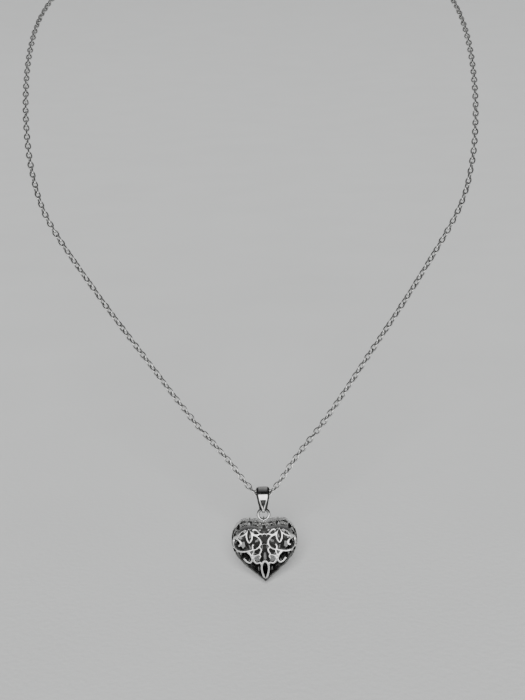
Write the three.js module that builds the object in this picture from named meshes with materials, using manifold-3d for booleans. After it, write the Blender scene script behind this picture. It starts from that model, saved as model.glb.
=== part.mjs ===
// A heart pendant on a bail and a fine cable chain, with a lobster clasp at the nape.
// Millimetres, +Z up, the front of the pendant towards -Y. The origin is the point at the
// nape that the closed clasp rests on, and the necklace hangs from there in its worn shape.

import * as THREE from "three";
import { mergeVertices } from "three/addons/utils/BufferGeometryUtils.js";
import Module from "manifold-3d";

const wasm = await Module();
wasm.setup();

// ---------- Driving dimensions ----------

// The chain's lowest point, where the bail hangs, measured from the nape.
const LOW_POINT = new THREE.Vector3(0, -104.5, -129);
const CHAIN_WIDTH = 1.7;

const HEART_HEIGHT = 15.6;
const HEART_HALF_WIDTH = 7.8;
const HEART_HALF_DEPTH = 3.45;
const HEART_CLEFT_HEIGHT = 14.45;
const HEART_SCALE_CENTRE = 8.4; // height above the tip that the outline shrinks towards
const SOLDER_GAP = 0.04; // left open between pieces that are soldered together
const STRAND_WIDTH = 0.5;
const STRAND_DEPTH = 0.65;

const RING_WIRE = 0.7;
const RING_RADIUS = 1.3; // to the middle of the wire, as for every ring here
const HEART_LOOP_WIRE = 0.44;
const HEART_LOOP_RADIUS = 0.67;

const BAIL_TOP_RADIUS = 1.6;
const BAIL_TOP_THICKNESS = 0.45;
const BAIL_EYE_RADIUS = 0.5;
const BAIL_EYE_THICKNESS = 0.4;

const END_RING_RADIUS = 1.65;
const CLASP_THICKNESS = 1.5;
const CLASP_SLOT = 0.86;
const LEVER_THICKNESS = 0.74;
const PIN_RADIUS = 0.28;
const RUNNING_CLEARANCE = 0.05;

// Heights from the chain's low point.
const BAIL_CENTRE_Z = 0.25;
const BAIL_EYE_Z = -3.85;
const RING_CENTRE_Z = BAIL_EYE_Z - RING_RADIUS;
const HEART_TIP_Z = -21.95;

// ---------- Materials ----------

const silver = (color, roughness) => new THREE.MeshStandardMaterial({ color, roughness, metalness: 1 });
const POLISHED_SILVER = silver(0xd6d6d4, 0.14);
const CHAIN_SILVER = silver(0xc9c9c7, 0.2);
const SPRING_STEEL = silver(0x8d8f92, 0.35);

// ---------- Helpers ----------

// A geometry as a manifold solid: only positions, with shared vertices merged.
function solidOf(geometry) {
  const bare = new THREE.BufferGeometry();
  bare.setAttribute("position", geometry.getAttribute("position").clone());
  if (geometry.index) bare.setIndex(geometry.index.clone());
  const merged = mergeVertices(bare, 1e-4);
  const mesh = new wasm.Mesh({
    numProp: 3,
    vertProperties: new Float32Array(merged.getAttribute("position").array),
    triVerts: new Uint32Array(merged.index.array),
  });
  return new wasm.Manifold(mesh);
}

function geometryOf(solid) {
  const mesh = solid.getMesh();
  const geometry = new THREE.BufferGeometry();
  geometry.setAttribute("position", new THREE.BufferAttribute(mesh.vertProperties, 3));
  geometry.setIndex(new THREE.BufferAttribute(mesh.triVerts, 1));
  return geometry;
}

function joined(solids) {
  return solids.reduce((whole, next) => whole.add(next));
}

// An outline in X and Z, made into a plate from y = front to y = back.
function plate(shape, front, back, curveSegments = 12) {
  const geometry = new THREE.ExtrudeGeometry(shape, {
    depth: back - front, bevelEnabled: false, curveSegments,
  });
  geometry.rotateX(Math.PI / 2); // the outline's Y becomes Z, and its depth runs towards -Y
  geometry.translate(0, back, 0);
  return geometry;
}

// A closed band: each section is one loop of points, and the last joins the first.
function sweptBand(sections) {
  const count = sections.length;
  const size = sections[0].length;
  const positions = sections.flat().flatMap((p) => [p.x, p.y, p.z]);
  const index = [];
  for (let i = 0; i < count; i++) {
    for (let j = 0; j < size; j++) {
      const here = i * size + j;
      const beside = i * size + ((j + 1) % size);
      const next = ((i + 1) % count) * size + j;
      const nextBeside = ((i + 1) % count) * size + ((j + 1) % size);
      index.push(here, next, beside, beside, next, nextBeside);
    }
  }
  const geometry = new THREE.BufferGeometry();
  geometry.setAttribute("position", new THREE.Float32BufferAttribute(positions, 3));
  geometry.setIndex(index);
  return geometry;
}

function ring(radius, wire, around = 24, section = 8) {
  return new THREE.TorusGeometry(radius, wire / 2, section, around);
}

function part(name, geometry, material) {
  const mesh = new THREE.Mesh(geometry, material);
  mesh.name = name;
  return mesh;
}

function group(...children) {
  const made = new THREE.Group();
  made.add(...children);
  return made;
}

// ---------- Heart: two openwork half shells ----------

// Half of the heart's outline, from the tip up the side, over the lobe and into the cleft.
function heartSide() {
  const side = new THREE.CurvePath();
  const at = (x, z) => new THREE.Vector2(x, z);
  const shoulder = at(HEART_HALF_WIDTH, 10.6);
  const crown = at(4, HEART_HEIGHT);
  side.add(new THREE.CubicBezierCurve(at(0, 0), at(3.2, 3.3), at(7.9, 6.2), shoulder));
  side.add(new THREE.CubicBezierCurve(shoulder, at(7.8, 13.6), at(6.3, HEART_HEIGHT), crown));
  side.add(new THREE.CubicBezierCurve(crown, at(2.4, HEART_HEIGHT), at(0.9, 15.15), at(0, HEART_CLEFT_HEIGHT)));
  return side;
}

const HEART_SIDE = heartSide();
const OUTLINE_STEPS = 26; // on each side of the heart

// The whole outline, anticlockwise from the tip when it is seen from the front.
function heartOutline() {
  const right = HEART_SIDE.getSpacedPoints(OUTLINE_STEPS);
  const left = right.slice(1, -1).reverse().map((p) => new THREE.Vector2(-p.x, p.y));
  return [...right, ...left];
}

// The wall's section: how far the outline has shrunk, and how far in front of the seam.
const WALL_SECTION = [
  [1, SOLDER_GAP / 2], [1, 0.7], [0.985, 1.6], [0.96, 2.5], [0.925, 3.1], [0.88, HEART_HALF_DEPTH],
  [0.81, HEART_HALF_DEPTH], [0.81, HEART_HALF_DEPTH - STRAND_DEPTH],
  [0.87, 2.3], [0.9, 1.5], [0.915, 0.7], [0.915, SOLDER_GAP / 2],
];

const PANEL_SCALE = 0.845; // the scroll panel ends inside the wall's front band

function heartWall() {
  const sections = heartOutline().map((p) =>
    WALL_SECTION.map(([scale, depth]) =>
      new THREE.Vector3(
        p.x * scale,
        -depth,
        HEART_SCALE_CENTRE + (p.y - HEART_SCALE_CENTRE) * scale,
      )));
  return solidOf(sweptBand(sections));
}

// Almond openings through the wall, each as [share of the side's length from the tip,
// length along the rim, height across the wall].
const WALL_OPENINGS = [
  [0.12, 2.2, 1.7], [0.235, 2.2, 1.9], [0.35, 2.3, 2], [0.465, 2.3, 2], [0.58, 2.2, 2],
  [0.69, 2.1, 2], [0.795, 2, 1.9], [0.9, 1.8, 1.7],
];
const OPENING_DEPTH = 1.65; // from the seam to the middle of an opening

function almond(length, height) {
  const shape = new THREE.Shape();
  shape.moveTo(-length / 2, 0);
  shape.quadraticCurveTo(0, -height, length / 2, 0);
  shape.quadraticCurveTo(0, height, -length / 2, 0);
  return shape;
}

function wallOpenings() {
  return WALL_OPENINGS.flatMap(([share, length, height]) => {
    const point = HEART_SIDE.getPointAt(share);
    const along = HEART_SIDE.getTangentAt(share);
    return [1, -1].map((side) => {
      const cutter = new THREE.ExtrudeGeometry(almond(length, height), {
        depth: 3.2, bevelEnabled: false, curveSegments: 3,
      });
      cutter.translate(0, 0, -1.9);
      const rim = new THREE.Vector3(side * along.x, 0, along.y);
      const outward = new THREE.Vector3(side * along.y, 0, -along.x);
      const across = new THREE.Vector3().crossVectors(outward, rim);
      cutter.applyMatrix4(new THREE.Matrix4().makeBasis(rim, across, outward));
      cutter.translate(side * point.x, -OPENING_DEPTH, point.y);
      return solidOf(cutter);
    });
  });
}

// The scrollwork of the front panel: the middle lines of its strands on the right-hand side,
// each as points (x, height above the tip). The left-hand side mirrors them.
const SCROLLS = {
  brow: [[0, 13.25], [0.55, 13.15], [0.97, 13.3]],
  leaf_top: [[0.97, 13.3], [1.8, 14.05], [2.9, 14.3]],
  leaf_bottom: [[0.97, 13.3], [1.85, 13.2], [2.45, 13.6], [2.9, 14.3]],
  drop_inner: [[3.4, 14.5], [2.87, 13.16], [3.03, 11.82], [3.56, 11.02]],
  drop_outer: [[3.56, 11.02], [4.02, 11.82], [4.17, 13.3], [3.7, 14.5]],
  wing_top: [[4.1, 14.3], [4.9, 14.25], [5.6, 13.75], [6.2, 12.75]],
  wing_bottom: [[4.15, 13.6], [4.85, 12.98], [5.5, 12.65], [6.2, 12.4]],
  curl: [[6.2, 12.75], [6.5, 11.95], [5.9, 11.75], [5.42, 11.2], [5.54, 10.66], [6.0, 10.4]],
  shoulder: [[6.4, 12.2], [6.8, 11.4], [6.85, 10.5], [6.6, 9.6], [6.1, 9.1], [5.4, 8.87], [4.25, 8.96],
    [3.28, 9.15], [2.63, 9.4]],
  inner_c: [[2.9, 13.0], [2.2, 12.9], [1.49, 12.45], [0.93, 11.55], [0.89, 10.75], [1.25, 10.03],
    [2.06, 9.41], [2.79, 9.3]],
  inner_curl: [[2.79, 9.35], [2.85, 10.1], [2.6, 10.75]],
  fork_inner: [[2.5, 9.3], [2.75, 8.4], [3.1, 7.75]],
  fork_outer: [[4.2, 8.95], [3.7, 8.3], [3.1, 7.75]],
  bridge: [[0, 10.75], [0.45, 10.65], [0.89, 10.75]],
  stem: [[1.3, 10.0], [0.8, 9.3], [1.31, 8.15], [2.16, 7.84], [3.1, 7.75]],
  lower_c: [[2.16, 7.84], [2.62, 7.3], [2.62, 6.5], [1.95, 5.85], [1.15, 6.0], [0.8, 5.3]],
  lower_curl: [[1.31, 8.15], [1.05, 7.5], [1.35, 7.0]],
  outer_loop_top: [[3.1, 7.75], [4.1, 7.6], [4.9, 7.0]],
  outer_loop_bottom: [[2.62, 6.5], [3.3, 5.9], [4.1, 6.0]],
  marquise: [[0, 7.3], [0.7, 6.2], [0.8, 5.0], [0.6, 3.4], [0, 1.3]],
};
const SCROLL_STEPS_PER_MM = 1.2;

// A strand: a strip of even width along a smooth line through the points.
function strandShape(points, mirror) {
  const line = new THREE.CatmullRomCurve3(points.map(([x, z]) => new THREE.Vector3(mirror * x, z, 0)));
  const steps = Math.max(3, Math.round(line.getLength() * SCROLL_STEPS_PER_MM));
  const spots = line.getSpacedPoints(steps);
  const sides = [1, -1].map((side) =>
    spots.map((spot, i) => {
      const along = line.getTangentAt(i / steps);
      const offset = (side * STRAND_WIDTH) / 2;
      return new THREE.Vector2(spot.x - along.y * offset, spot.y + along.x * offset);
    }));
  return new THREE.Shape([...sides[0], ...sides[1].reverse()]);
}

function scrollPanel() {
  const front = -HEART_HALF_DEPTH;
  const solids = Object.values(SCROLLS).flatMap((points) =>
    [1, -1].map((mirror) => solidOf(plate(strandShape(points, mirror), front, front + STRAND_DEPTH))));
  return joined(solids);
}

function heartHalf() {
  const outline = new THREE.Shape(heartOutline().map((p) =>
    new THREE.Vector2(p.x * PANEL_SCALE, HEART_SCALE_CENTRE + (p.y - HEART_SCALE_CENTRE) * PANEL_SCALE)));
  const inside = solidOf(plate(outline, -HEART_HALF_DEPTH - 1, 0));
  const panel = scrollPanel().intersect(inside);
  return geometryOf(heartWall().subtract(joined(wallOpenings())).add(panel));
}

function heart() {
  const front = part("heart_front", heartHalf(), POLISHED_SILVER);
  const back = part("heart_back", heartHalf(), POLISHED_SILVER);
  back.rotation.z = Math.PI;
  const made = group(front, back);
  made.position.z = HEART_TIP_Z;
  return made;
}

// The small loop soldered upright in the cleft, which the jump ring passes through.
function heartLoop() {
  const mesh = part("heart_loop", ring(HEART_LOOP_RADIUS, HEART_LOOP_WIRE, 20, 8), POLISHED_SILVER);
  mesh.rotation.y = Math.PI / 2;
  mesh.position.z = RING_CENTRE_Z - RING_RADIUS - 0.06;
  return mesh;
}

function jumpRing() {
  const mesh = part("jump_ring", ring(RING_RADIUS, RING_WIRE), POLISHED_SILVER);
  mesh.rotation.x = Math.PI / 2;
  mesh.position.z = RING_CENTRE_Z;
  return mesh;
}

// ---------- Bail ----------

// A teardrop round two circles, one above the other, joined by their outer tangents.
function teardrop(path, topRadius, bottomRadius) {
  const lean = Math.asin((topRadius - bottomRadius) / (BAIL_CENTRE_Z - BAIL_EYE_Z));
  path.absarc(0, BAIL_CENTRE_Z, topRadius, -lean, Math.PI + lean, false);
  path.absarc(0, BAIL_EYE_Z, bottomRadius, Math.PI + lean, 2 * Math.PI - lean, false);
  path.closePath();
  return path;
}

// Half of the bail's width: broad over the chain, tapering to a narrow tongue in the ring.
function bailHalfWidth(z) {
  const eyeTop = BAIL_EYE_Z + 0.4;
  if (z >= 0) return 1.55;
  if (z >= eyeTop) return THREE.MathUtils.mapLinear(z, 0, eyeTop, 1.55, 0.95);
  return Math.max(0.42, THREE.MathUtils.mapLinear(z, eyeTop, BAIL_EYE_Z - 0.35, 0.95, 0.42));
}

function bail() {
  const shape = teardrop(new THREE.Shape(), BAIL_TOP_RADIUS, BAIL_EYE_RADIUS + BAIL_EYE_THICKNESS);
  shape.holes.push(teardrop(new THREE.Path(), BAIL_TOP_RADIUS - BAIL_TOP_THICKNESS, BAIL_EYE_RADIUS));
  const geometry = new THREE.ExtrudeGeometry(shape, { depth: 2, bevelEnabled: false, curveSegments: 14 });
  geometry.translate(0, 0, -1);
  geometry.applyMatrix4(new THREE.Matrix4().makeBasis(
    new THREE.Vector3(0, 1, 0), new THREE.Vector3(0, 0, 1), new THREE.Vector3(1, 0, 0)));
  const position = geometry.getAttribute("position");
  for (let i = 0; i < position.count; i++) {
    position.setX(i, position.getX(i) * bailHalfWidth(position.getZ(i)));
  }
  return part("bail", geometry, POLISHED_SILVER);
}

// ---------- Chain ----------

// The chain's route on the right-hand side, from the low point in the bail up the chest,
// round the side of the neck and back to the clasp, measured from the low point.
const HALF_ROUTE = [
  [0, 0, 0], [2.1, 0.1, 0.62], [4.3, 0.8, 2.95], [8, 2, 8], [15, 4.5, 16], [27, 9, 32],
  [39, 15, 48], [49.5, 21, 64], [52.5, 25, 72.5], [54.5, 31.5, 82], [55.7, 41, 92.5],
  [55.9, 52.5, 102.5], [54.6, 65, 111], [50.5, 77, 118], [42, 90, 123.5], [27, 100, 127.5],
  [7.1, 104.2, 129],
];
const CHAIN_STEPS = 79;
const CROWDING = 0.62; // how much shorter the steps are in the bail than on average

// The steps along the chain crowd together in the bail, where it bends most.
class ChainRoute extends THREE.CatmullRomCurve3 {
  getUtoTmapping(share, distance) {
    const fromMiddle = 2 * share - 1;
    const crowded = fromMiddle - (CROWDING * Math.sin(Math.PI * fromMiddle)) / Math.PI;
    return super.getUtoTmapping((crowded + 1) / 2, distance);
  }
}

function chain() {
  const right = HALF_ROUTE.map(([x, y, z]) => new THREE.Vector3(x, y, z));
  const left = right.slice(1).reverse().map((p) => new THREE.Vector3(-p.x, p.y, p.z));
  const route = new ChainRoute([...left, ...right]);
  const section = new THREE.Shape(
    Array.from({ length: 8 }, (_, i) => {
      const angle = ((i + 0.5) * Math.PI) / 4;
      return new THREE.Vector2(Math.cos(angle), Math.sin(angle)).multiplyScalar(CHAIN_WIDTH / 2);
    }));
  const geometry = new THREE.ExtrudeGeometry(section, { steps: CHAIN_STEPS, extrudePath: route });
  return part("chain", geometry, CHAIN_SILVER);
}

// ---------- Clasp ----------

// The clasp lies along X: its eye is at -X, its hook at +X and its mouth below.
const EYE_X = -4;
const EYE_RADIUS = 1.3;
const EYE_HOLE = 0.65;
const HOOK_X = 1.8;
const HOOK_RADIUS = 2.1;
const HOOK_BAND = 0.8;
const PIVOT_X = -1.5;
const PIVOT_Z = -0.75;
const HOOK_RING_X = 2.45; // where the tag ring's wire rests in the hook
const CLASP_SHIFT = 0.75; // centres the clasp and its two rings on the nape

function circle(x, z, radius, sides) {
  return new THREE.Shape(Array.from({ length: sides }, (_, i) => {
    const angle = (i * 2 * Math.PI) / sides;
    return new THREE.Vector2(x + radius * Math.cos(angle), z + radius * Math.sin(angle));
  }));
}

// The body: a block with a hook that curls right round to its nose under the mouth.
function claspOutline() {
  const inner = HOOK_RADIUS - HOOK_BAND;
  const shape = new THREE.Shape();
  shape.moveTo(-3.1, 1);
  shape.quadraticCurveTo(-1.6, 2.1, HOOK_X, HOOK_RADIUS);
  shape.absarc(HOOK_X, 0, HOOK_RADIUS, Math.PI / 2, -Math.PI * 0.57, true);
  shape.absarc(HOOK_X, 0, inner, -Math.PI * 0.53, Math.PI / 2, false);
  shape.lineTo(0.1, inner);
  shape.quadraticCurveTo(-0.5, 0.9, -0.5, 0);
  shape.lineTo(-0.55, -1.6);
  shape.lineTo(-2.6, -1.6);
  shape.quadraticCurveTo(-3.3, -1.3, -3.3, -0.6);
  shape.closePath();
  return shape;
}

function claspBody() {
  const half = CLASP_THICKNESS / 2;
  const eyeHalf = 0.55;
  const block = solidOf(plate(claspOutline(), -half, half, 9));
  const eye = solidOf(plate(circle(EYE_X, 0, EYE_RADIUS, 20), -eyeHalf, eyeHalf));
  const hole = solidOf(plate(circle(EYE_X, 0, EYE_HOLE, 14), -half, half));
  const slot = new THREE.Shape();
  slot.moveTo(0.2, -2.2);
  slot.lineTo(0.2, 0.75);
  slot.lineTo(-2.3, 0.4);
  slot.lineTo(-2.7, -0.6);
  slot.lineTo(-2.7, -2.2);
  slot.closePath();
  const cut = solidOf(plate(slot, -CLASP_SLOT / 2, CLASP_SLOT / 2));
  const bore = solidOf(plate(circle(PIVOT_X, PIVOT_Z, PIN_RADIUS + RUNNING_CLEARANCE, 14), -half - 1, half + 1));
  const body = block.add(eye).subtract(hole).subtract(cut).subtract(bore);
  return part("clasp_body", geometryOf(body), POLISHED_SILVER);
}

// The lever closes the mouth: its root turns on the pin, and its thumb tab sticks out below.
function claspLever() {
  const shape = new THREE.Shape();
  shape.moveTo(-1.9, -0.35);
  shape.lineTo(-1.1, -0.3);
  shape.quadraticCurveTo(-0.5, -0.6, -0.3, -1.15);
  shape.lineTo(1.52, -1.38);
  shape.lineTo(1.2, -2.06);
  shape.quadraticCurveTo(0.1, -2.2, -0.6, -1.95);
  shape.lineTo(-1.5, -2.05);
  shape.quadraticCurveTo(-2.2, -2.9, -2.9, -2.85);
  shape.lineTo(-2.95, -2.45);
  shape.quadraticCurveTo(-2.3, -2.2, -2.15, -1.2);
  shape.closePath();
  const half = LEVER_THICKNESS / 2;
  const bore = solidOf(plate(circle(PIVOT_X, PIVOT_Z, PIN_RADIUS + RUNNING_CLEARANCE, 14), -2, 2));
  const lever = solidOf(plate(shape, -half, half, 5)).subtract(bore);
  return part("clasp_lever", geometryOf(lever), POLISHED_SILVER);
}

function claspPin() {
  const pin = new THREE.CylinderGeometry(PIN_RADIUS, PIN_RADIUS, CLASP_THICKNESS, 14);
  const mesh = part("clasp_pin", pin, POLISHED_SILVER);
  mesh.position.set(PIVOT_X, 0, PIVOT_Z);
  return mesh;
}

// The leaf spring in the slot bears on the lever's root and holds the mouth closed.
function claspSpring() {
  const shape = new THREE.Shape([
    [-2.2, 0.02], [-1.2, 0.1], [-0.6, 0.3], [-0.66, 0.42], [-1.2, 0.24], [-2.2, 0.16],
  ].map(([x, z]) => new THREE.Vector2(x, z)));
  return part("clasp_spring", plate(shape, -0.3, 0.3), SPRING_STEEL);
}

function endRing(name, x) {
  const mesh = part(name, ring(END_RING_RADIUS, RING_WIRE), POLISHED_SILVER);
  mesh.position.x = x;
  return mesh;
}

function clasp() {
  const made = group(
    claspBody(), claspLever(), claspPin(), claspSpring(),
    endRing("end_ring_left", EYE_X - END_RING_RADIUS),
    endRing("end_ring_right", HOOK_RING_X + END_RING_RADIUS),
  );
  made.position.x = CLASP_SHIFT;
  return made;
}

// ---------- The necklace ----------

const hanging = group(chain(), bail(), jumpRing(), heartLoop(), heart());
hanging.position.copy(LOW_POINT);

export default group(hanging, clasp());
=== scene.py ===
"""The looks of the heart pendant necklace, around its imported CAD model.

Metres, +Z up, the front of the pendant towards -Y, the origin at the nape. Small pieces are
worked out in millimetres from the chain's low point and scaled when their meshes are made.
"""

import math

import bmesh
import bpy
import numpy as np
from mathutils import Matrix, Vector


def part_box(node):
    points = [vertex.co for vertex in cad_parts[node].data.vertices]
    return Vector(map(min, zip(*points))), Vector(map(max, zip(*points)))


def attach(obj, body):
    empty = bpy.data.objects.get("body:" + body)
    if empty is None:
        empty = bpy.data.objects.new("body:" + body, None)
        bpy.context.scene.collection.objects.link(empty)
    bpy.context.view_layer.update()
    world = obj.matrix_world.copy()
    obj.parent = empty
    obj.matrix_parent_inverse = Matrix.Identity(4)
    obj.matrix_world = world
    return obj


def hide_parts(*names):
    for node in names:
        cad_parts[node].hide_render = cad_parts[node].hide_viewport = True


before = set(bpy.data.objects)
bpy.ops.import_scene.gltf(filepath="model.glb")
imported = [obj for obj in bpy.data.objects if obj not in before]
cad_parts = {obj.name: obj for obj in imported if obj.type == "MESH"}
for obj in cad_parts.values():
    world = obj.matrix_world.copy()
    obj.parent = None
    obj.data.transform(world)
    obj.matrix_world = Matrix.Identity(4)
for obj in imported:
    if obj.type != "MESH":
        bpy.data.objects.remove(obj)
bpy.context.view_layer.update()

MM = 0.001
LOW_POINT = np.array((0.0, -104.5, -129.0))  # the chain's lowest point, in the bail, in mm

# ---------- Camera ----------

CAMERA_OFFSET = np.array((1.0, -252.0, 102.5))  # from the low point, in mm
CAMERA_PITCH = math.radians(75)  # 90 looks level
CAMERA_ROLL = math.radians(-1.85)
CAMERA_LENS = 59.1


def make_camera():
    data = bpy.data.cameras.new("camera")
    data.lens = CAMERA_LENS
    data.sensor_width = 36
    data.clip_start = 0.01
    data.clip_end = 50
    camera = bpy.data.objects.new("camera", data)
    turn = Matrix.Rotation(CAMERA_PITCH, 4, "X") @ Matrix.Rotation(CAMERA_ROLL, 4, "Z")
    camera.matrix_world = Matrix.Translation((LOW_POINT + CAMERA_OFFSET) * MM) @ turn
    bpy.context.scene.collection.objects.link(camera)
    bpy.context.scene.camera = camera


make_camera()

# ---------- Lines ----------


def smooth_line(points, per_span=12):
    """A centripetal Catmull-Rom line through the points."""
    points = [np.array(p, float) for p in points]
    padded = [2 * points[0] - points[1], *points, 2 * points[-1] - points[-2]]
    line = []
    for p0, p1, p2, p3 in zip(padded, padded[1:], padded[2:], padded[3:]):
        t0 = 0.0
        t1 = t0 + math.sqrt(np.linalg.norm(p1 - p0))
        t2 = t1 + math.sqrt(np.linalg.norm(p2 - p1))
        t3 = t2 + math.sqrt(np.linalg.norm(p3 - p2))
        for t in np.linspace(t1, t2, per_span, endpoint=False):
            a1 = ((t1 - t) * p0 + (t - t0) * p1) / (t1 - t0)
            a2 = ((t2 - t) * p1 + (t - t1) * p2) / (t2 - t1)
            a3 = ((t3 - t) * p2 + (t - t2) * p3) / (t3 - t2)
            b1 = ((t2 - t) * a1 + (t - t0) * a2) / (t2 - t0)
            b2 = ((t3 - t) * a2 + (t - t1) * a3) / (t3 - t1)
            line.append(((t2 - t) * b1 + (t - t1) * b2) / (t2 - t1))
    line.append(points[-1])
    return np.array(line)


def lengths_along(line):
    steps = np.linalg.norm(np.diff(line, axis=0), axis=1)
    return np.concatenate([[0.0], np.cumsum(steps)])


def at_length(line, lengths, s):
    """The point of the line at that length, past its ends too."""
    past = 0.0
    if s < 0:
        past, direction = s, line[1] - line[0]
    elif s > lengths[-1]:
        past, direction = s - lengths[-1], line[-1] - line[-2]
    point = np.array([np.interp(s, lengths, line[:, k]) for k in range(3)])
    return point + past * direction / np.linalg.norm(direction) if past else point


def even_line(line, spacing):
    """The same line, cut into even steps of about that spacing."""
    lengths = lengths_along(line)
    count = max(3, round(lengths[-1] / spacing))
    return np.array([at_length(line, lengths, s) for s in np.linspace(0, lengths[-1], count + 1)])


def unit(v):
    return v / np.linalg.norm(v)


# ---------- Meshes ----------


class Shape:
    """Vertices and faces that grow piece by piece, in mm."""

    def __init__(self):
        self.vertices = []
        self.faces = []

    def tube(self, sections, closed):
        """Joins rings of points, one after the other; an open tube gets end caps."""
        first = len(self.vertices)
        size = len(sections[0])
        count = len(sections)
        for section in sections:
            self.vertices.extend(section)
        for i in range(count if closed else count - 1):
            for j in range(size):
                here = first + i * size
                there = first + ((i + 1) % count) * size
                beside = (j + 1) % size
                self.faces.append((here + j, here + beside, there + beside, there + j))
        if not closed:
            last = first + (count - 1) * size
            self.faces.append(tuple(range(first + size - 1, first - 1, -1)))
            self.faces.append(tuple(range(last, last + size)))

    def strip(self, line, normals, section):
        """Sweeps a section of (across, up) points along a line on a surface."""
        sections = []
        last = len(line) - 1
        for i, (point, normal) in enumerate(zip(line, normals)):
            along = unit(line[min(i + 1, last)] - line[max(i - 1, 0)])
            across = unit(np.cross(along, normal))
            up = np.cross(across, along)
            sections.append([point + across * a + up * u for a, u in section])
        self.tube(sections, False)

    def mesh(self, name, unit_size=MM, origin=LOW_POINT):
        """A Blender mesh of the shape, shifted to its origin and then scaled."""
        data = bpy.data.meshes.new(name)
        vertices = (np.array(self.vertices) + origin) * unit_size
        data.from_pydata(vertices.tolist(), [], self.faces)
        data.update()
        return data


def place(mesh, name, body, material, nodes=()):
    """Puts a mesh in the scene as a piece that rides on a body and stands for CAD nodes."""
    mesh.shade_smooth()
    mesh.materials.clear()
    mesh.materials.append(material)
    piece = bpy.data.objects.new(name, mesh)
    bpy.context.scene.collection.objects.link(piece)
    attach(piece, body)
    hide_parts(*nodes)
    return piece


def remelted(mesh, name, voxel, smoothing):
    """The mesh in mm, fused into one skin with soft edges, as cast metal has."""
    rough = bpy.data.objects.new(name, mesh)
    bpy.context.scene.collection.objects.link(rough)
    remesh = rough.modifiers.new("remesh", "REMESH")
    remesh.mode = "VOXEL"
    remesh.voxel_size = voxel
    smooth = rough.modifiers.new("smooth", "SMOOTH")
    smooth.factor = 0.5
    smooth.iterations = smoothing
    graph = bpy.context.evaluated_depsgraph_get()
    made = bpy.data.meshes.new_from_object(rough.evaluated_get(graph))
    made.name = name
    bpy.data.objects.remove(rough)
    return made


def vertex_places(mesh):
    points = np.zeros(len(mesh.vertices) * 3)
    mesh.vertices.foreach_get("co", points)
    return points.reshape(-1, 3)


def store_painted_shade(mesh, values):
    """Keeps how much painted shade the metal gets at each vertex, from 0 to 1, for the silver to
    read.
    """
    painted_shade = mesh.attributes.new("painted_shade", "FLOAT", "POINT")
    painted_shade.data.foreach_set("value", np.asarray(values, np.float32))


# ---------- Materials ----------


def nodes_for(name):
    material = bpy.data.materials.new(name)
    material.use_nodes = True
    tree = material.node_tree
    return material, tree, tree.nodes["Principled BSDF"]


def link(tree, output, to):
    tree.links.new(output, to)


def noise(tree, vector, scale, detail=2.0, stretch=None):
    """A noise texture in object space, stretched if a stretch is given."""
    if stretch:
        mapping = tree.nodes.new("ShaderNodeMapping")
        mapping.inputs["Scale"].default_value = stretch
        link(tree, vector, mapping.inputs["Vector"])
        vector = mapping.outputs["Vector"]
    texture = tree.nodes.new("ShaderNodeTexNoise")
    texture.inputs["Scale"].default_value = scale
    texture.inputs["Detail"].default_value = detail
    link(tree, vector, texture.inputs["Vector"])
    return texture.outputs["Fac"]


def spread(tree, value, low, high, from_low=0.0, from_high=1.0):
    """Maps a value on to the range from low to high."""
    node = tree.nodes.new("ShaderNodeMapRange")
    node.inputs["From Min"].default_value = from_low
    node.inputs["From Max"].default_value = from_high
    node.inputs["To Min"].default_value = low
    node.inputs["To Max"].default_value = high
    link(tree, value, node.inputs["Value"])
    return node.outputs["Result"]


def add(tree, a, b):
    node = tree.nodes.new("ShaderNodeMath")
    node.operation = "ADD"
    link(tree, a, node.inputs[0])
    link(tree, b, node.inputs[1])
    return node.outputs["Value"]


def mix_colours(tree, factor, a, b):
    """Mixes two colours; each is a colour or another node's output."""
    node = tree.nodes.new("ShaderNodeMix")
    node.data_type = "RGBA"
    link(tree, factor, node.inputs["Factor"])
    sockets = [s for s in node.inputs if s.type == "RGBA"]
    for socket, colour in zip(sockets, (a, b)):
        if isinstance(colour, tuple):
            socket.default_value = (*colour, 1.0)
        else:
            link(tree, colour, socket)
    return [s for s in node.outputs if s.type == "RGBA"][0]


def bump(tree, shader, height, strength, distance, under=None):
    node = tree.nodes.new("ShaderNodeBump")
    node.inputs["Strength"].default_value = strength
    node.inputs["Distance"].default_value = distance
    link(tree, height, node.inputs["Height"])
    if under:
        link(tree, under, node.inputs["Normal"])
    link(tree, node.outputs["Normal"], shader.inputs["Normal"])
    return node.outputs["Normal"]


def silver(name, bright, painted_shade_colour, low_rough, high_rough, scratch_scale):
    """Polished silver: cloudy gloss, fine polishing lines, and painted shade that darkens and
    roughens the metal where a mesh asks for it.
    """
    material, tree, shader = nodes_for(name)
    place_in_object = tree.nodes.new("ShaderNodeTexCoord").outputs["Object"]
    # Painted shade: this vertex value darkens the colour, standing in for shade and dark reflections.
    painted_shade = tree.nodes.new("ShaderNodeAttribute")
    painted_shade.attribute_name = "painted_shade"
    clouds = noise(tree, place_in_object, 900)
    lines = noise(tree, place_in_object, scratch_scale, 1.0, stretch=(1.0, 0.12, 0.25))
    pores = noise(tree, place_in_object, 9000, 3.0)
    shade = spread(tree, clouds, 0.0, 0.25, 0.35, 0.8)
    # Painted shade, added to the random cloudy tone.
    painted_shade_and_tone = add(tree, painted_shade.outputs["Fac"], shade)
    link(tree, mix_colours(tree, painted_shade_and_tone, bright, painted_shade_colour), shader.inputs["Base Color"])
    gloss = spread(tree, clouds, low_rough, high_rough, 0.3, 0.7)
    painted_shade_roughness = spread(tree, painted_shade.outputs["Fac"], 0.0, 0.25)
    link(tree, add(tree, gloss, painted_shade_roughness), shader.inputs["Roughness"])
    shader.inputs["Metallic"].default_value = 1.0
    polish = bump(tree, shader, lines, 0.12, 0.00002)
    bump(tree, shader, pores, 0.06, 0.00002, under=polish)
    return material


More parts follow.
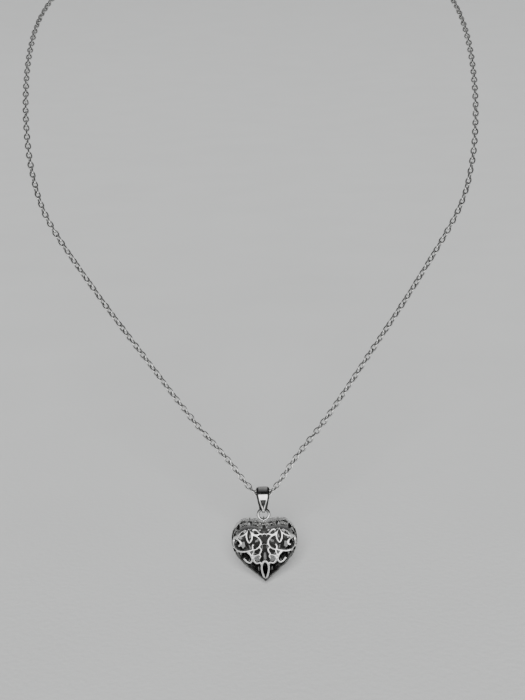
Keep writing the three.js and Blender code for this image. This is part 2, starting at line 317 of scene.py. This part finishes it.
def pale_floor():
    """Pale matt paint, slightly uneven, with painted shade that darkens it far from the object."""
    material, tree, shader = nodes_for("pale_floor")
    place_in_object = tree.nodes.new("ShaderNodeTexCoord").outputs["Object"]
    clouds = noise(tree, place_in_object, 18, 4.0)
    grain = noise(tree, place_in_object, 700, 3.0)
    near = mix_colours(tree, clouds, (0.66, 0.67, 0.665), (0.72, 0.73, 0.725))
    distance = tree.nodes.new("ShaderNodeVectorMath")
    distance.operation = "LENGTH"
    link(tree, place_in_object, distance.inputs[0])
    # Painted shade: darker with distance from the middle.
    painted_falloff = spread(tree, distance.outputs["Value"], 0.0, 1.0, 0.3, 4.5)
    colour = mix_colours(tree, painted_falloff, near, (0.30, 0.305, 0.305))
    link(tree, colour, shader.inputs["Base Color"])
    shader.inputs["Roughness"].default_value = 0.85
    bump(tree, shader, grain, 0.25, 0.0003)
    return material


POLISHED = silver("polished_silver_look", (0.93, 0.93, 0.92), (0.055, 0.055, 0.054), 0.07, 0.16, 2600)
CHAIN_METAL = silver("chain_silver_look", (0.72, 0.72, 0.71), (0.12, 0.12, 0.115), 0.12, 0.24, 3200)
SPRING_METAL = silver("spring_steel_look", (0.45, 0.46, 0.47), (0.10, 0.10, 0.10), 0.28, 0.42, 5200)

# ---------- Chain ----------

# The route on the right-hand side, in mm from the low point, as in the CAD source.
HALF_ROUTE = [
    (0, 0, 0), (2.1, 0.1, 0.62), (4.3, 0.8, 2.95), (8, 2, 8), (15, 4.5, 16), (27, 9, 32),
    (39, 15, 48), (49.5, 21, 64), (52.5, 25, 72.5), (54.5, 31.5, 82), (55.7, 41, 92.5),
    (55.9, 52.5, 102.5), (54.6, 65, 111), (50.5, 77, 118), (42, 90, 123.5), (27, 100, 127.5),
    (7.1, 104.2, 129),
]
CHAIN_WIDTH = 1.65
LINK_WIRE = 0.46
LINK_PITCH = 1.32
END_REACH = 0.24  # the end links stand this far past the route's ends, in the end rings
NECK_AXIS_Y = 54.5  # the middle of the neck, behind the low point


def chain_route():
    left = [(-x, y, z) for x, y, z in reversed(HALF_ROUTE[1:])]
    return smooth_line([*left, *HALF_ROUTE])


def oval_link(length, width, wire, around=20, sides=8):
    """A closed oval of round wire in its own X (along) and Y (across) plane."""
    half_length = (length - wire) / 2
    half_width = (width - wire) / 2
    sections = []
    for i in range(around):
        angle = 2 * math.pi * i / around
        c, s = math.cos(angle), math.sin(angle)
        centre = np.array((half_length * c, half_width * s, 0.0))
        outward = unit(np.array((half_width * c, half_length * s, 0.0)))
        section = []
        for j in range(sides):
            turn = 2 * math.pi * j / sides
            out = outward * math.cos(turn) + np.array((0, 0, 1.0)) * math.sin(turn)
            section.append(centre + out * wire / 2)
        sections.append(section)
    return sections


def chain_links(route):
    """Every link of the chain. Even links lie flat on the neck, odd ones stand on edge."""
    lengths = lengths_along(route)
    span = lengths[-1] + 2 * END_REACH
    gaps = 2 * round(span / LINK_PITCH / 2)
    pitch = span / gaps
    link_shape = oval_link(pitch + 0.01 + 2 * LINK_WIRE, CHAIN_WIDTH, LINK_WIRE)
    shape = Shape()
    for i in range(gaps + 1):
        s = i * pitch - END_REACH
        centre = at_length(route, lengths, s)
        along = unit(at_length(route, lengths, s + 0.3) - at_length(route, lengths, s - 0.3))
        outward = centre - np.array((0.0, NECK_AXIS_Y, centre[2]))
        outward = unit(outward - along * (outward @ along))
        across = np.cross(outward, along)
        # The links don't hang quite alike: they rock by up to 15 degrees.
        sway = math.radians(9 * math.sin(0.37 * i) + 6 * math.sin(1.9 * i + 0.6))
        turn = sway + (math.pi / 2 if i % 2 else 0.0)
        side = across * math.cos(turn) + outward * math.sin(turn)
        normal = np.cross(along, side)
        basis = np.array((along, side, normal))
        shape.tube([[centre + p @ basis for p in section] for section in link_shape], True)
    return shape


route = chain_route()
chain = place(chain_links(route).mesh("cable_chain"), "cable_chain", "necklace",
              CHAIN_METAL, ["chain"])

# ---------- Rings ----------


def wire_ring(centre, radius, wire, axis, seam_angle, around=72, sides=20):
    """A ring of round wire, with the fine groove of the joint where it closes."""
    turn = {"X": (1, 2, 0), "Y": (2, 0, 1), "Z": (0, 1, 2)}[axis]
    seam_width = 0.05
    sections = []
    for i in range(around):
        angle = seam_angle + 2 * math.pi * i / around
        closeness = math.exp(-((min(i, around - i) * 2 * math.pi / around / seam_width) ** 2))
        thick = wire / 2 * (1 - 0.10 * closeness)
        section = []
        for j in range(sides):
            out = 2 * math.pi * j / sides
            reach = radius + thick * math.cos(out)
            point = np.zeros(3)
            point[turn[0]] = reach * math.cos(angle)
            point[turn[1]] = reach * math.sin(angle)
            point[turn[2]] = thick * math.sin(out)
            section.append(point + centre)
        sections.append(section)
    shape = Shape()
    shape.tube(sections, True)
    return shape


def ring_centre(node):
    """The middle of a CAD node, in mm from the low point."""
    low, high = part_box(node)
    return np.array((low + high) / 2) / MM - LOW_POINT


RING_WIRE = 0.7
JUMP_RING_RADIUS = 1.3
END_RING_RADIUS = 1.65
LOOP_WIRE = 0.44
LOOP_RADIUS = 0.67

ring_place = ring_centre("jump_ring")
ring_mesh = wire_ring(ring_place, JUMP_RING_RADIUS, RING_WIRE, "Y", 2.4).mesh("jump_ring_fine")
ring_heights = (vertex_places(ring_mesh) / MM - LOW_POINT)[:, 2] - ring_place[2]
ring_rise = ring_heights / JUMP_RING_RADIUS  # from -1 at its foot to 1 at its top, which gets the most painted shade
# Painted shade on the ring's upper part, standing in for a dark reflection.
store_painted_shade(ring_mesh, np.clip(0.45 + 0.7 * ring_rise, 0, 0.75))
place(ring_mesh, "jump_ring_fine", "ring", POLISHED, ["jump_ring"])
heart_loop = wire_ring(ring_centre("heart_loop"), LOOP_RADIUS, LOOP_WIRE, "X", 1.0)
place(heart_loop.mesh("heart_loop_fine"), "heart_loop_fine", "heart", POLISHED,
      ["heart_loop"])
for side, seam_angle in (("left", 0.9), ("right", 2.2)):
    node = f"end_ring_{side}"
    ring = wire_ring(ring_centre(node), END_RING_RADIUS, RING_WIRE, "Z", seam_angle)
    place(ring.mesh(node + "_fine"), node + "_fine", "necklace",
                           CHAIN_METAL, [node])

# ---------- Bail ----------

BAIL_TOP = (0.25, 1.15, 0.45)  # height of the round's middle, its inner radius, the thickness
BAIL_EYE = (-3.85, 0.5, 0.4)


def bail_half_width(z):
    """Half the bail's width at a height: the bail tapers towards its eye."""
    eye_foot = BAIL_EYE[0] - 0.35
    eye_top = BAIL_EYE[0] + 0.4
    return np.interp(z, [eye_foot, eye_top, 0.0], [0.42, 0.95, 1.55])


def bail_stations():
    """Round the bail's opening: each is its place (y, z), the way outwards and the thickness."""
    top, eye = np.array(BAIL_TOP), np.array(BAIL_EYE)
    lean = math.asin((top[1] - eye[1]) / (top[0] - eye[0]))
    front = math.pi + lean
    back = 2 * math.pi - lean
    # Each is the share of the way down from the top round to the eye, and the angle outwards.
    stations = [(0, angle) for angle in np.linspace(-lean, front, 34)]
    stations += [(share, front) for share in np.linspace(0, 1, 42)[1:-1]]
    stations += [(1, angle) for angle in np.linspace(front, back, 20)]
    stations += [(share, back) for share in np.linspace(1, 0, 16)[1:-1]]
    made = []
    for share, angle in stations:
        middle, radius, thickness = top + (eye - top) * share
        out = np.array((math.cos(angle), math.sin(angle)))
        made.append((np.array((0.0, middle)) + out * radius, out, thickness))
    return made


FACET_BOTTOM = -0.95  # the bail's flat front facet ends here and its groove starts
FACET_SHARE = 0.62  # the facet's share of the width
GROOVE_DEPTH = 0.36
RIDGE_LIFT = 0.05  # how far the ridges beside the groove stand up
EDGE_DROP = 0.28  # how far the side slopes fall from the ridges
BAND_FOOT = 0.35  # the band of painted shade round the bail's top, between these heights
BAND_HEAD = 1.25
# How dark the bail's painted shade gets.
BAIL_PAINTED_SHADE = 0.95


def bail_ridge(z, half):
    """How far from the middle the bail's ridges run: they close in on each other downwards."""
    if z > FACET_BOTTOM:
        return FACET_SHARE * half
    facet_end = FACET_SHARE * bail_half_width(FACET_BOTTOM)
    return min(np.interp(z, [BAIL_EYE[0] + 0.35, FACET_BOTTOM], [0.16, facet_end]), 0.8 * half)


def bail_outer_face(z, half, thickness, front):
    """The outer face at one height, as (across, up) from the left edge to the right one."""
    fold = float(np.clip((FACET_BOTTOM - z) / 0.15, 0, 1)) if front else 0.0
    fold *= float(np.clip((z - BAIL_EYE[0] - 0.1) / 0.5, 0, 1))
    ridge = bail_ridge(z, half) if front else FACET_SHARE * half
    depth = min(GROOVE_DEPTH, 0.9 * ridge) * fold
    right = []
    for share in (0.0, 0.15, 0.4, 0.7, 0.92, 1.0):
        x = ridge * share
        right.append((x, thickness + RIDGE_LIFT * fold * share - depth * (1 - share)))
    for share in (0.12, 0.35, 0.65, 0.9, 1.0):
        x = ridge + (half - ridge) * share
        right.append((x, thickness + RIDGE_LIFT * fold * (1 - share) - EDGE_DROP * share ** 1.15))
    return [(-x, up) for x, up in reversed(right[1:])] + right


def bail_shape():
    sections = []
    for (y, z), out, thickness in bail_stations():
        half = bail_half_width(z + out[1] * thickness)
        outer = bail_outer_face(z, half, thickness, out[0] < -0.3)
        rim = [(half * 0.97, 0.04), (half * 0.88, 0.0)]
        section = outer + rim + [(0.0, 0.0)] + [(-x, up) for x, up in reversed(rim)]
        sections.append([np.array((x, y + out[0] * up, z + out[1] * up)) for x, up in section])
    shape = Shape()
    shape.tube(sections, True)
    return shape


def paint_bail_shade(mesh):
    """Paints shade on the groove, the side slopes and a band near the top, all on the bail's front.
    """
    x, y, z = (vertex_places(mesh) / MM - LOW_POINT).T
    half = bail_half_width(z)
    ridge = np.array([bail_ridge(height, width) for height, width in zip(z, half)])
    front = np.clip((-0.1 - y) / 0.3, 0, 1)
    between_ridges = np.clip((ridge - 0.07 - np.abs(x)) / 0.08, 0, 1)
    groove = np.clip((FACET_BOTTOM - z) / 0.2, 0, 1) * between_ridges
    slopes = np.clip((np.abs(x) - ridge) / 0.12, 0, 1)
    band = np.clip((z - BAND_FOOT) / 0.15, 0, 1) * np.clip((BAND_HEAD - z) / 0.3, 0, 1)
    bail_shade_mask = np.maximum.reduce([groove, slopes, band])
    # Painted shade and dark reflection on the bail's front.
    store_painted_shade(mesh, BAIL_PAINTED_SHADE * front * bail_shade_mask)


bail_mesh = bail_shape().mesh("bail_fine")
paint_bail_shade(bail_mesh)
place(bail_mesh, "bail_fine", "bail", POLISHED, ["bail"])

# ---------- Heart ----------

HEART_TIP_Z = -21.95  # from the low point
HEART_CENTRE = 8.4  # height above the tip that the outline shrinks towards
SHELL_DEPTH = 3.17  # seam to the middle of the shell's front
SHELL_RIM = 0.965  # the outline's scale at the middle of the shell's rim
SHELL_POWER = 9  # how squarely the wall turns into the front
BOLD_STRAND = 0.5
FINE_STRAND = 0.38
BACK_EXTRA = 0.5  # how much wider the back's strands are
BACK_OPENNESS = 0.5  # the width of the back wall's openings, as a share of the front wall's
RIM_SHARE = 0.3  # strands near the rim have room for this share of the extra width
SHELL_THICKNESS = 0.55
PANEL_FLATNESS = 4  # how strongly the strands' faces lean towards the front
VOXEL = 0.065
STRAND_STEP = 0.16


def bezier(a, b, c, d, steps=40):
    t = np.linspace(0, 1, steps, endpoint=False)[:, None]
    a, b, c, d = (np.array(p, float) for p in (a, b, c, d))
    return (1 - t) ** 3 * a + 3 * t * (1 - t) ** 2 * b + 3 * t * t * (1 - t) * c + t ** 3 * d


# Half of the heart's outline as (x, height above the tip), from the tip to the cleft.
SIDE = np.vstack([
    bezier((0, 0), (3.2, 3.3), (7.9, 6.2), (7.8, 10.6)),
    bezier((7.8, 10.6), (7.8, 13.6), (6.3, 15.6), (4, 15.6)),
    bezier((4, 15.6), (2.4, 15.6), (0.9, 15.15), (0, 14.45)),
    [(0, 14.45)],
])
SIDE_LENGTHS = lengths_along(SIDE)
SIDE_LENGTH = SIDE_LENGTHS[-1]
SIDE_ANGLES = np.arctan2(SIDE[:, 0], HEART_CENTRE - SIDE[:, 1])
SIDE_RADII = np.hypot(SIDE[:, 0], SIDE[:, 1] - HEART_CENTRE)


def outline_scale(x, height):
    """How large a copy of the outline passes through this point: 1 is the outline itself."""
    angle = np.arctan2(np.abs(x), HEART_CENTRE - height)
    return np.hypot(x, height - HEART_CENTRE) / np.interp(angle, SIDE_ANGLES, SIDE_RADII)


def shell_depth(x, height):
    scale = np.minimum(outline_scale(x, height) / SHELL_RIM, 1.0)
    return SHELL_DEPTH * np.sqrt(1 - scale ** SHELL_POWER)


def shell_level(points):
    """1 on the middle of the shell's thickness, less inside it and more outside."""
    scale = outline_scale(points[:, 0], points[:, 2]) / SHELL_RIM
    return (points[:, 1] / SHELL_DEPTH) ** 2 + scale ** SHELL_POWER


def shell_normals(points):
    """Directions out of the shell at points (x, y, height)."""
    step = 0.02
    slopes = []
    for k in range(3):
        shift = np.zeros(3)
        shift[k] = step
        slopes.append(shell_level(points + shift) - shell_level(points - shift))
    slopes = np.array(slopes).T
    return slopes / np.linalg.norm(slopes, axis=1)[:, None]


def on_panel(points):
    """Lays points (x, height) on the shell's front, in even steps."""
    flat = smooth_line([(x, 0.0, height) for x, height in points])
    flat = even_line(flat, STRAND_STEP)
    flat[:, 1] = -shell_depth(flat[:, 0], flat[:, 2])
    return flat


def wall_points(places):
    """The shell's middle at places (mm along the rim from the tip, mm from the seam)."""
    x = np.interp(places[:, 0], SIDE_LENGTHS, SIDE[:, 0])
    height = np.interp(places[:, 0], SIDE_LENGTHS, SIDE[:, 1])
    share = np.clip(places[:, 1] / SHELL_DEPTH, 0, 0.999)
    scale = SHELL_RIM * (1 - share ** 2) ** (1 / SHELL_POWER)
    return np.array((x * scale, -places[:, 1], HEART_CENTRE + (height - HEART_CENTRE) * scale)).T


def strand_section(width):
    """A flat-topped strip with soft shoulders, as (across, up)."""
    w, t = width / 2, SHELL_THICKNESS / 2
    return [(-w, -t), (w, -t), (w, 0.35 * t), (0.86 * w, 0.8 * t), (0.6 * w, t),
            (-0.6 * w, t), (-0.86 * w, 0.8 * t), (-w, 0.35 * t)]


# The scrollwork of the front: middle lines on the right-hand side, as (x, height above the tip).
SCROLLS = {
    "brow": [(0, 13.25), (0.55, 13.15), (0.97, 13.3)],
    "leaf_top": [(0.97, 13.3), (1.5, 13.95), (2.2, 14.25), (2.95, 14.1)],
    "leaf_bottom": [(0.97, 13.3), (1.8, 13.0), (2.55, 13.25), (2.95, 14.1)],
    "drop_inner": [(3.4, 14.5), (2.87, 13.16), (3.03, 11.82), (3.56, 11.02)],
    "drop_outer": [(3.56, 11.02), (4.02, 11.82), (4.17, 13.3), (3.7, 14.5)],
    "wing_top": [(4.0, 14.0), (4.7, 14.35), (5.6, 13.9), (6.25, 12.75)],
    "wing_bottom": [(4.15, 13.6), (4.85, 12.98), (5.5, 12.65), (6.2, 12.4)],
    "curl": [(7.0, 11.9), (6.5, 12.05), (5.85, 11.7), (5.52, 11.1), (5.68, 10.5), (6.1, 10.3)],
    "shoulder": [(6.5, 12.6), (7.1, 11.7), (7.15, 10.6), (6.85, 9.6), (6.25, 9.05), (5.4, 8.87),
                 (4.25, 8.96), (3.28, 9.15), (2.63, 9.4)],
    "inner_c": [(2.9, 13.0), (2.2, 12.9), (1.49, 12.45), (0.93, 11.55), (0.89, 10.75),
                (1.25, 10.03), (2.06, 9.41), (2.79, 9.3)],
    "inner_curl": [(2.79, 9.35), (2.85, 10.1), (2.6, 10.75)],
    "fork_inner": [(2.5, 9.3), (2.75, 8.4), (3.1, 7.75)],
    "fork_outer": [(4.2, 8.95), (3.7, 8.3), (3.1, 7.75)],
    "bridge": [(0, 10.75), (0.45, 10.65), (0.89, 10.75)],
    "stem": [(1.3, 10.0), (0.8, 9.3), (1.31, 8.15), (2.16, 7.84), (3.1, 7.75)],
    "lower_c": [(2.16, 7.84), (2.62, 7.3), (2.62, 6.5), (1.95, 5.85), (1.15, 6.0), (0.8, 5.3)],
    "lower_curl": [(1.31, 8.15), (1.05, 7.5), (1.35, 7.0)],
    "outer_c": [(3.9, 8.9), (3.25, 7.75), (3.0, 6.7), (3.6, 6.0), (4.35, 6.35), (5.0, 7.1)],
    "marquise": [(0, 6.5), (0.62, 5.75), (0.84, 4.7), (0.66, 3.2), (0, 1.1)],
    "top_tie": [(3.55, 14.3), (3.5, 15.0)],
}

# Strands that only the back has, which fill the wider gaps between the others.
BACK_SCROLLS = {
    "spine": [(0, 13.2), (0, 10.7), (0, 6.5)],
    "inner_leaf": [(1.9, 12.8), (2.0, 11.2), (1.9, 9.5)],
    "side_leaf": [(3.56, 11.0), (4.0, 10.0), (4.1, 9.0)],
    "outer_leaf": [(5.5, 11.2), (5.0, 10.1), (5.1, 8.9)],
    "low_leaf": [(4.4, 8.9), (4.3, 7.8), (3.9, 6.2)],
    "low_inner": [(2.1, 7.8), (1.7, 6.9), (1.6, 5.9)],
}
BOLD_SCROLLS = ("leaf_top", "leaf_bottom", "shoulder", "marquise", "lower_c", "curl", "outer_c")

WALL_FRONT = 2.78  # the wall's reach from the seam
WALL_CELL = 0.08
LEAF_PITCH = 3.1
LEAF_COUNT = 7
LAST_LEAF = 21.1  # along the rim from the tip
# The wall's openings, in mm from the seam: the middle, half the length and half the width, and
# for the two kinds that lie along the rim how far they bow towards the seam.
LEAF = (1.35, 1.1, 0.6)
ALMOND = (1.0, 1.0, 0.56, 0.1)
SLOT = (2.25, 1.0, 0.3, 0.3)
EDGE_SCROLLS = ("shoulder", "wing_top", "outer_c", "curl", "leaf_top", "top_tie")  # near the rim
SHOULDER = (9.0, 12.3, 1.95)  # between these heights the wall ends this far from the seam
CLEFT_OPENING = [(0.5, 0.0), (1.4, 0.6), (2.2, 1.0), (WALL_FRONT, 1.15)]  # (depth, half width)


def in_leaf(s, d, middle, depth, half_along, half_across):
    """A pointed oval across the wall."""
    room = half_across * (1 - ((d - depth) / half_along) ** 2)
    return np.abs(s - middle) < room


def in_arch(s, d, middle, depth, half_along, half_across, rise):
    """A pointed oval along the wall, bowed towards the seam."""
    swell = 1 - ((s - middle) / half_along) ** 2
    return np.abs(d - depth + rise * swell) < half_across * swell


def is_open(s, d, openness):
    """Where the wall is pierced: leaves, with an almond and a slot between them."""
    open_places = np.zeros(s.shape, bool)
    for i in range(LEAF_COUNT):
        leaf = LAST_LEAF - LEAF_PITCH * i
        depth, half_along, half_across = LEAF
        open_places |= in_leaf(s, d, leaf, depth, half_along, half_across * openness)
        for depth, half_along, half_across, rise in (ALMOND, SLOT):
            between = leaf + LEAF_PITCH / 2
            open_places |= in_arch(s, d, between, depth, half_along, half_across * openness, rise)
    heights = np.interp(s, SIDE_LENGTHS, SIDE[:, 1])
    low, high, reach = SHOULDER
    open_places |= (heights > low) & (heights < high) & (d > reach)
    depths, widths = np.array(CLEFT_OPENING).T
    return open_places | (SIDE_LENGTH - s < np.interp(d, depths, widths, 0.0, 0.0))


def pierced_wall(openness):
    """The heart's side wall: a band from the seam to the front, without its openings."""
    steps = round(SIDE_LENGTH / WALL_CELL)
    right = np.linspace(0, SIDE_LENGTH, steps + 1)
    along = np.concatenate([right, right[-2:0:-1]])
    mirror = np.concatenate([np.ones(steps + 1), -np.ones(steps - 1)])
    depths = np.linspace(0.02, WALL_FRONT, round(WALL_FRONT / WALL_CELL) + 1)
    columns, rows = len(along), len(depths)

    places = np.array([(s, d) for s in along for d in depths])
    points = wall_points(places)
    points[:, 0] *= np.repeat(mirror, rows)
    lift = shell_normals(points) * SHELL_THICKNESS / 2
    shape = Shape()
    shape.vertices = [*(points + lift), *(points - lift)]

    cell_s = (np.arange(columns) + 0.5) * SIDE_LENGTH / steps
    cell_s = np.minimum(cell_s, 2 * SIDE_LENGTH - cell_s)
    cell_d = (depths[1:] + depths[:-1]) / 2
    solid = ~is_open(*np.meshgrid(cell_s, cell_d, indexing="ij"), openness)

    def corner(i, j, inner):
        return (i % columns) * rows + j + inner * columns * rows

    for i in range(columns):
        for j in range(rows - 1):
            if not solid[i, j]:
                continue
            around = ((i, j), (i + 1, j), (i + 1, j + 1), (i, j + 1))
            outer = [corner(column, row, 0) for column, row in around]
            inner = [corner(column, row, 1) for column, row in around]
            shape.faces.append(tuple(outer))
            shape.faces.append(tuple(reversed(inner)))
            beyond = ((i, j - 1), (i + 1, j), (i, j + 1), (i - 1, j))
            for side, (column, row) in enumerate(beyond):
                if 0 <= row < rows - 1 and solid[column % columns, row]:
                    continue
                a, b = side, (side + 1) % 4
                shape.faces.append((outer[b], outer[a], inner[a], inner[b]))
    return shape.mesh("wall", 1.0, np.zeros(3))


def scroll_panel(scrolls, extra_width):
    """A panel's strands as closed strips that run into each other."""
    shape = Shape()
    for name, points in scrolls.items():
        width = BOLD_STRAND if name in BOLD_SCROLLS else FINE_STRAND
        room = RIM_SHARE if name in EDGE_SCROLLS else 1.0
        section = strand_section(width + extra_width * room)
        for mirror in (1, -1):
            line = on_panel(points) * np.array((mirror, 1, 1))
            facing = shell_normals(line) + np.array((0, -PANEL_FLATNESS, 0))
            shape.strip(line, facing, section)
    return shape


# The outer wall gets painted shade beyond this share of the outline, as (height above the tip,
# share).
PAINTED_SHADE_WALL = [(0, 0.78), (8.4, 0.78), (9.2, 0.94), (12.0, 0.94), (12.8, 0.86)]
PAINTED_SHADE_WALL_TOP = 14.6
BRIDGE_HEIGHT = 10.7
# How dark the painted shade gets inside the shell, on its walls and on the bridge.
INSIDE_PAINTED_SHADE = 0.95
WALL_PAINTED_SHADE = 0.85
BRIDGE_PAINTED_SHADE = 0.8


def paint_heart_shade(mesh, has_painted_bridge_shade):
    """Paints shade on the inner side of the shell, its lower and side walls, and the front's bridge.
    """
    points = vertex_places(mesh)
    x, y, height = points.T
    inside = np.clip((1.0 - shell_level(points)) / 0.16, 0, 1)
    heights, shares = np.array(PAINTED_SHADE_WALL).T
    wall_start = np.interp(height, heights, shares)
    wall = np.clip((outline_scale(x, height) - wall_start) / 0.04, 0, 1)
    wall *= np.clip((PAINTED_SHADE_WALL_TOP - height) / 2.0, 0, 1)
    wall *= 1 - 0.6 * np.clip((0.3 + y) / 0.15, 0, 1)  # less painted shade at the seam's edge, which stays bright
    bridge = np.clip((0.75 - np.abs(x)) / 0.15, 0, 1) * (np.abs(height - BRIDGE_HEIGHT) < 0.6)
    # Painted shade, standing in for shade and dark reflections on the heart.
    store_painted_shade(mesh, np.maximum.reduce([
        INSIDE_PAINTED_SHADE * inside,
        WALL_PAINTED_SHADE * wall,
        BRIDGE_PAINTED_SHADE * bridge * has_painted_bridge_shade,
    ]))


def heart_shell(name, wall, scrolls, extra_width, has_painted_bridge_shade):
    """One half of the heart in mm, as a single skin."""
    strips = scroll_panel(scrolls, extra_width).mesh("strands", 1.0, np.zeros(3))
    both = bmesh.new()
    both.from_mesh(wall)
    both.from_mesh(strips)
    rough = bpy.data.meshes.new(name)
    both.to_mesh(rough)
    both.free()
    skin = remelted(rough, name, VOXEL, 3)
    paint_heart_shade(skin, has_painted_bridge_shade)
    return skin


def heart_shells():
    """The front and back halves: the back is turned round and is less open."""
    to_frame = Matrix.Translation((LOW_POINT + np.array((0, 0, HEART_TIP_Z))) * MM)
    back_scrolls = {**SCROLLS, **BACK_SCROLLS}
    halves = (
        ("heart_front", 0.0, SCROLLS, 0.0, 1.0),
        ("heart_back", math.pi, back_scrolls, BACK_EXTRA, BACK_OPENNESS),
    )
    for node, turn, scrolls, extra_width, openness in halves:
        wall = pierced_wall(openness)
        skin = heart_shell(node + "_fine", wall, scrolls, extra_width, node == "heart_front")
        skin.transform(to_frame @ Matrix.Rotation(turn, 4, "Z") @ Matrix.Scale(MM, 4))
        place(skin, node + "_fine", "heart", POLISHED, [node])


heart_shells()

# ---------- Clasp ----------

CLASP_VOXEL = 0.06


def softened(node):
    """A CAD node's own shape, with cast edges in place of sharp ones."""
    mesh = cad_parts[node].data.copy()
    mesh.transform(Matrix.Scale(1 / MM, 4))
    made = remelted(mesh, node + "_fine", CLASP_VOXEL, 6)
    made.transform(Matrix.Scale(MM, 4))
    return made


clasp_body = place(softened("clasp_body"), "clasp_body_fine", "necklace",
                   POLISHED, ["clasp_body"])
place(softened("clasp_lever"), "clasp_lever_fine", "lever", POLISHED,
      ["clasp_lever"])


def repaint(node, material):
    """Gives a CAD node that stays in view its finish."""
    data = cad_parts[node].data
    data.materials.clear()
    data.materials.append(material)


repaint("clasp_pin", CHAIN_METAL)
repaint("clasp_spring", SPRING_METAL)

# ---------- Stage and light ----------

FLOOR_Z = -0.1525
FLOOR_RADIUS = 0.3  # the floor is flat this far from the middle
BACKDROP_RADIUS = 10.0
BACKDROP_RISE = 42  # degrees, at its far edge


def make_stage():
    """A pale floor that curves up gently all round into its own backdrop."""
    profile = [(0.08, FLOOR_Z), (FLOOR_RADIUS, FLOOR_Z)]
    for angle in np.radians(np.linspace(0, BACKDROP_RISE, 36)[1:]):
        profile.append((FLOOR_RADIUS + BACKDROP_RADIUS * math.sin(angle),
                        FLOOR_Z + BACKDROP_RADIUS * (1 - math.cos(angle))))
    around = 96
    vertices = []
    faces = [tuple(range(around))]
    for i, (reach, height) in enumerate(profile):
        for angle in 2 * np.pi * np.arange(around) / around:
            vertices.append((reach * math.cos(angle), reach * math.sin(angle), height))
        for j in range(around if i else 0):
            beside = (j + 1) % around
            inner, outer = (i - 1) * around, i * around
            faces.append((inner + j, outer + j, outer + beside, inner + beside))
    mesh = bpy.data.meshes.new("floor")
    mesh.from_pydata(vertices, [], faces)
    mesh.shade_smooth()
    mesh.materials.append(pale_floor())
    floor = bpy.data.objects.new("floor", mesh)
    bpy.context.scene.collection.objects.link(floor)


PANEL_SIDE = 0.4
PANEL_CORNER_Y = -0.112  # just in front of the heart
PANEL_TURN = 35  # degrees, about the vertical
PANEL_POWER = 1.15


def front_panel():
    """A square light that lies just above the floor in front, for the strands to mirror."""
    data = bpy.data.lights.new("front_panel", "AREA")
    data.shape = "RECTANGLE"
    data.size = PANEL_SIDE
    data.size_y = PANEL_SIDE
    data.energy = PANEL_POWER
    light = bpy.data.objects.new("front_panel", data)
    reach = PANEL_SIDE / math.sqrt(2)
    light.location = (-0.12 * reach, PANEL_CORNER_Y - reach, FLOOR_Z + 0.001)
    facing_up = Vector((0, 0, 1)).to_track_quat("-Z", "Y")
    turn = Matrix.Rotation(math.radians(PANEL_TURN), 4, "Z").to_quaternion()
    light.rotation_mode = "QUATERNION"
    light.rotation_quaternion = turn @ facing_up
    light.visible_camera = False
    bpy.context.scene.collection.objects.link(light)


def sun_light(name, azimuth, elevation, strength, softness):
    """Even soft daylight from in front, with angles in degrees; metal doesn't mirror it."""
    data = bpy.data.lights.new(name, "SUN")
    data.energy = strength
    data.angle = math.radians(softness)
    light = bpy.data.objects.new(name, data)
    a, e = math.radians(azimuth), math.radians(elevation)
    back = Vector((math.sin(a) * math.cos(e), -math.cos(a) * math.cos(e), math.sin(e)))
    light.rotation_mode = "QUATERNION"
    light.rotation_quaternion = (-back).to_track_quat("-Z", "Y")
    light.visible_glossy = False
    bpy.context.scene.collection.objects.link(light)


def make_world():
    """A dim studio: dark in front and mid grey behind, for the metal to mirror."""
    world = bpy.data.worlds.new("studio")
    world.use_nodes = True
    tree = world.node_tree
    direction = tree.nodes.new("ShaderNodeTexCoord").outputs["Generated"]
    axes = tree.nodes.new("ShaderNodeSeparateXYZ")
    link(tree, direction, axes.inputs["Vector"])
    ramp = tree.nodes.new("ShaderNodeValToRGB")
    ramp.color_ramp.elements[0].position = 0.1
    ramp.color_ramp.elements[0].color = (0.045, 0.045, 0.047, 1)
    ramp.color_ramp.elements[1].position = 0.75
    ramp.color_ramp.elements[1].color = (0.30, 0.30, 0.30, 1)
    link(tree, spread(tree, axes.outputs["Y"], 0.0, 1.0, -1.0, 1.0), ramp.inputs["Fac"])
    background = tree.nodes["Background"]
    link(tree, ramp.outputs["Color"], background.inputs["Color"])
    background.inputs["Strength"].default_value = 1.0
    bpy.context.scene.world = world


make_stage()
make_world()
sun_light("window", azimuth=-1, elevation=29, strength=5.6, softness=20)
front_panel()
